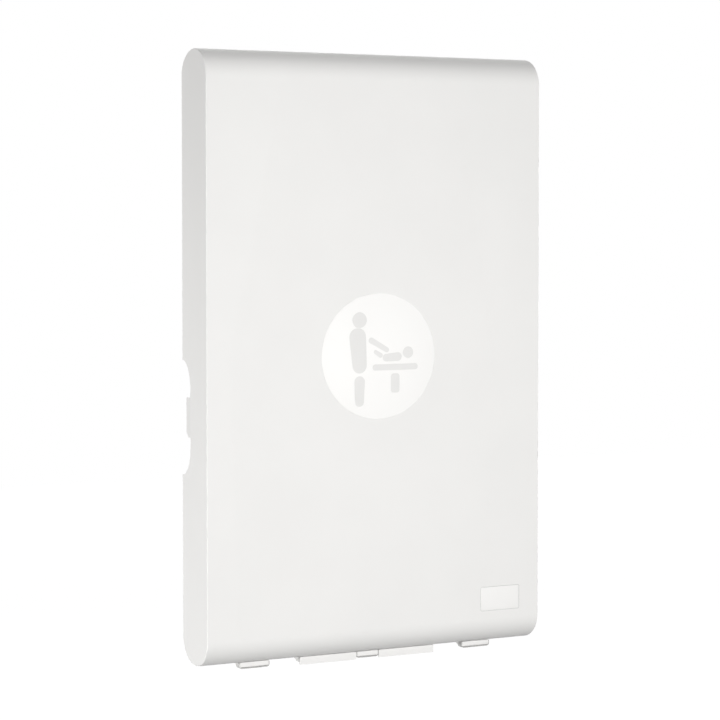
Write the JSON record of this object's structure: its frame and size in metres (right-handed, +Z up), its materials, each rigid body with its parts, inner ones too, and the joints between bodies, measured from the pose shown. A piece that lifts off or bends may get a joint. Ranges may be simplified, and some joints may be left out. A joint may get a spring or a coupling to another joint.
{
  "type": "baby changing station",
  "caption": "Vertical wall-hung baby changing station: a white moulded bed with a concave tray and strap folds down on a bottom hinge with rotary dampers.",
  "frame": {"origin": "on the wall plane, at the middle of the bed's width and height, on the back panel's centre pad", "axes": "+X to the right seen from the front, +Y into the wall, so that the front faces -Y, +Z up"},
  "size_m": [0.54, 0.096, 0.8908],
  "materials": {
    "white_plastic": "fine moulded texture",
    "painted_steel": "white powder coat",
    "steel": "zinc plated",
    "bronze": "plain bearing bronze",
    "dark_plastic": "moulded",
    "grey_plastic": "moulded",
    "rubber": "matt",
    "webbing": "woven webbing"
  },
  "bodies": {
    "wall_unit": {"back_panel": "white_plastic", "hinge_bracket_left": "painted_steel", "hinge_bracket_centre": "painted_steel", "hinge_bracket_right": "painted_steel", "hinge_pin_left": "steel", "hinge_pin_centre": "steel", "hinge_pin_right": "steel", "damper_body_left": "dark_plastic", "damper_body_right": "dark_plastic", "panel_screw_lower_left": "steel", "panel_screw_lower_right": "steel", "panel_screw_upper_left": "steel", "panel_screw_upper_right": "steel", "bracket_screw_left_1": "steel", "bracket_screw_left_2": "steel", "bracket_screw_centre_1": "steel", "bracket_screw_centre_2": "steel", "bracket_screw_right_1": "steel", "bracket_screw_right_2": "steel", "closing_bumper_left": "rubber", "closing_bumper_right": "rubber", "catch_magnet": "grey_plastic"},
    "bed": {"bed_shell": "white_plastic", "bed_tray": "white_plastic", "hinge_arm_left": "painted_steel", "hinge_arm_centre": "painted_steel", "hinge_arm_right": "painted_steel", "bush_left_1": "bronze", "bush_left_2": "bronze", "bush_centre_1": "bronze", "bush_centre_2": "bronze", "bush_right_1": "bronze", "bush_right_2": "bronze", "damper_rail_left": "painted_steel", "damper_rail_right": "painted_steel", "damper_shaft_left": "steel", "damper_shaft_right": "steel", "toe_pad_left": "rubber", "toe_pad_centre": "rubber", "toe_pad_right": "rubber", "catch_keeper": "steel", "strap_anchor_left": "white_plastic", "strap_anchor_right": "white_plastic", "strap_left": "webbing", "strap_right": "webbing", "buckle_body": "grey_plastic", "buckle_pin": "steel", "tray_spacer_left_1": "rubber", "tray_spacer_left_2": "rubber", "tray_spacer_left_3": "rubber", "tray_spacer_right_1": "rubber", "tray_spacer_right_2": "rubber", "tray_spacer_right_3": "rubber"},
    "lever": {"buckle_lever": "grey_plastic"}
  },
  "joints": [
    {"name": "bed_fold", "type": "hinge", "parent": "wall_unit", "child": "bed", "pos_m": [0, -0.0135, -0.4376], "axis": [1, 0, 0], "range_deg": [0, 90]},
    {"name": "lever_lift", "type": "hinge", "parent": "bed", "child": "lever", "pos_m": [0.014, -0.0538, -0.087], "axis": [0, 0, -1], "range_deg": [0, 45]}
  ]
}
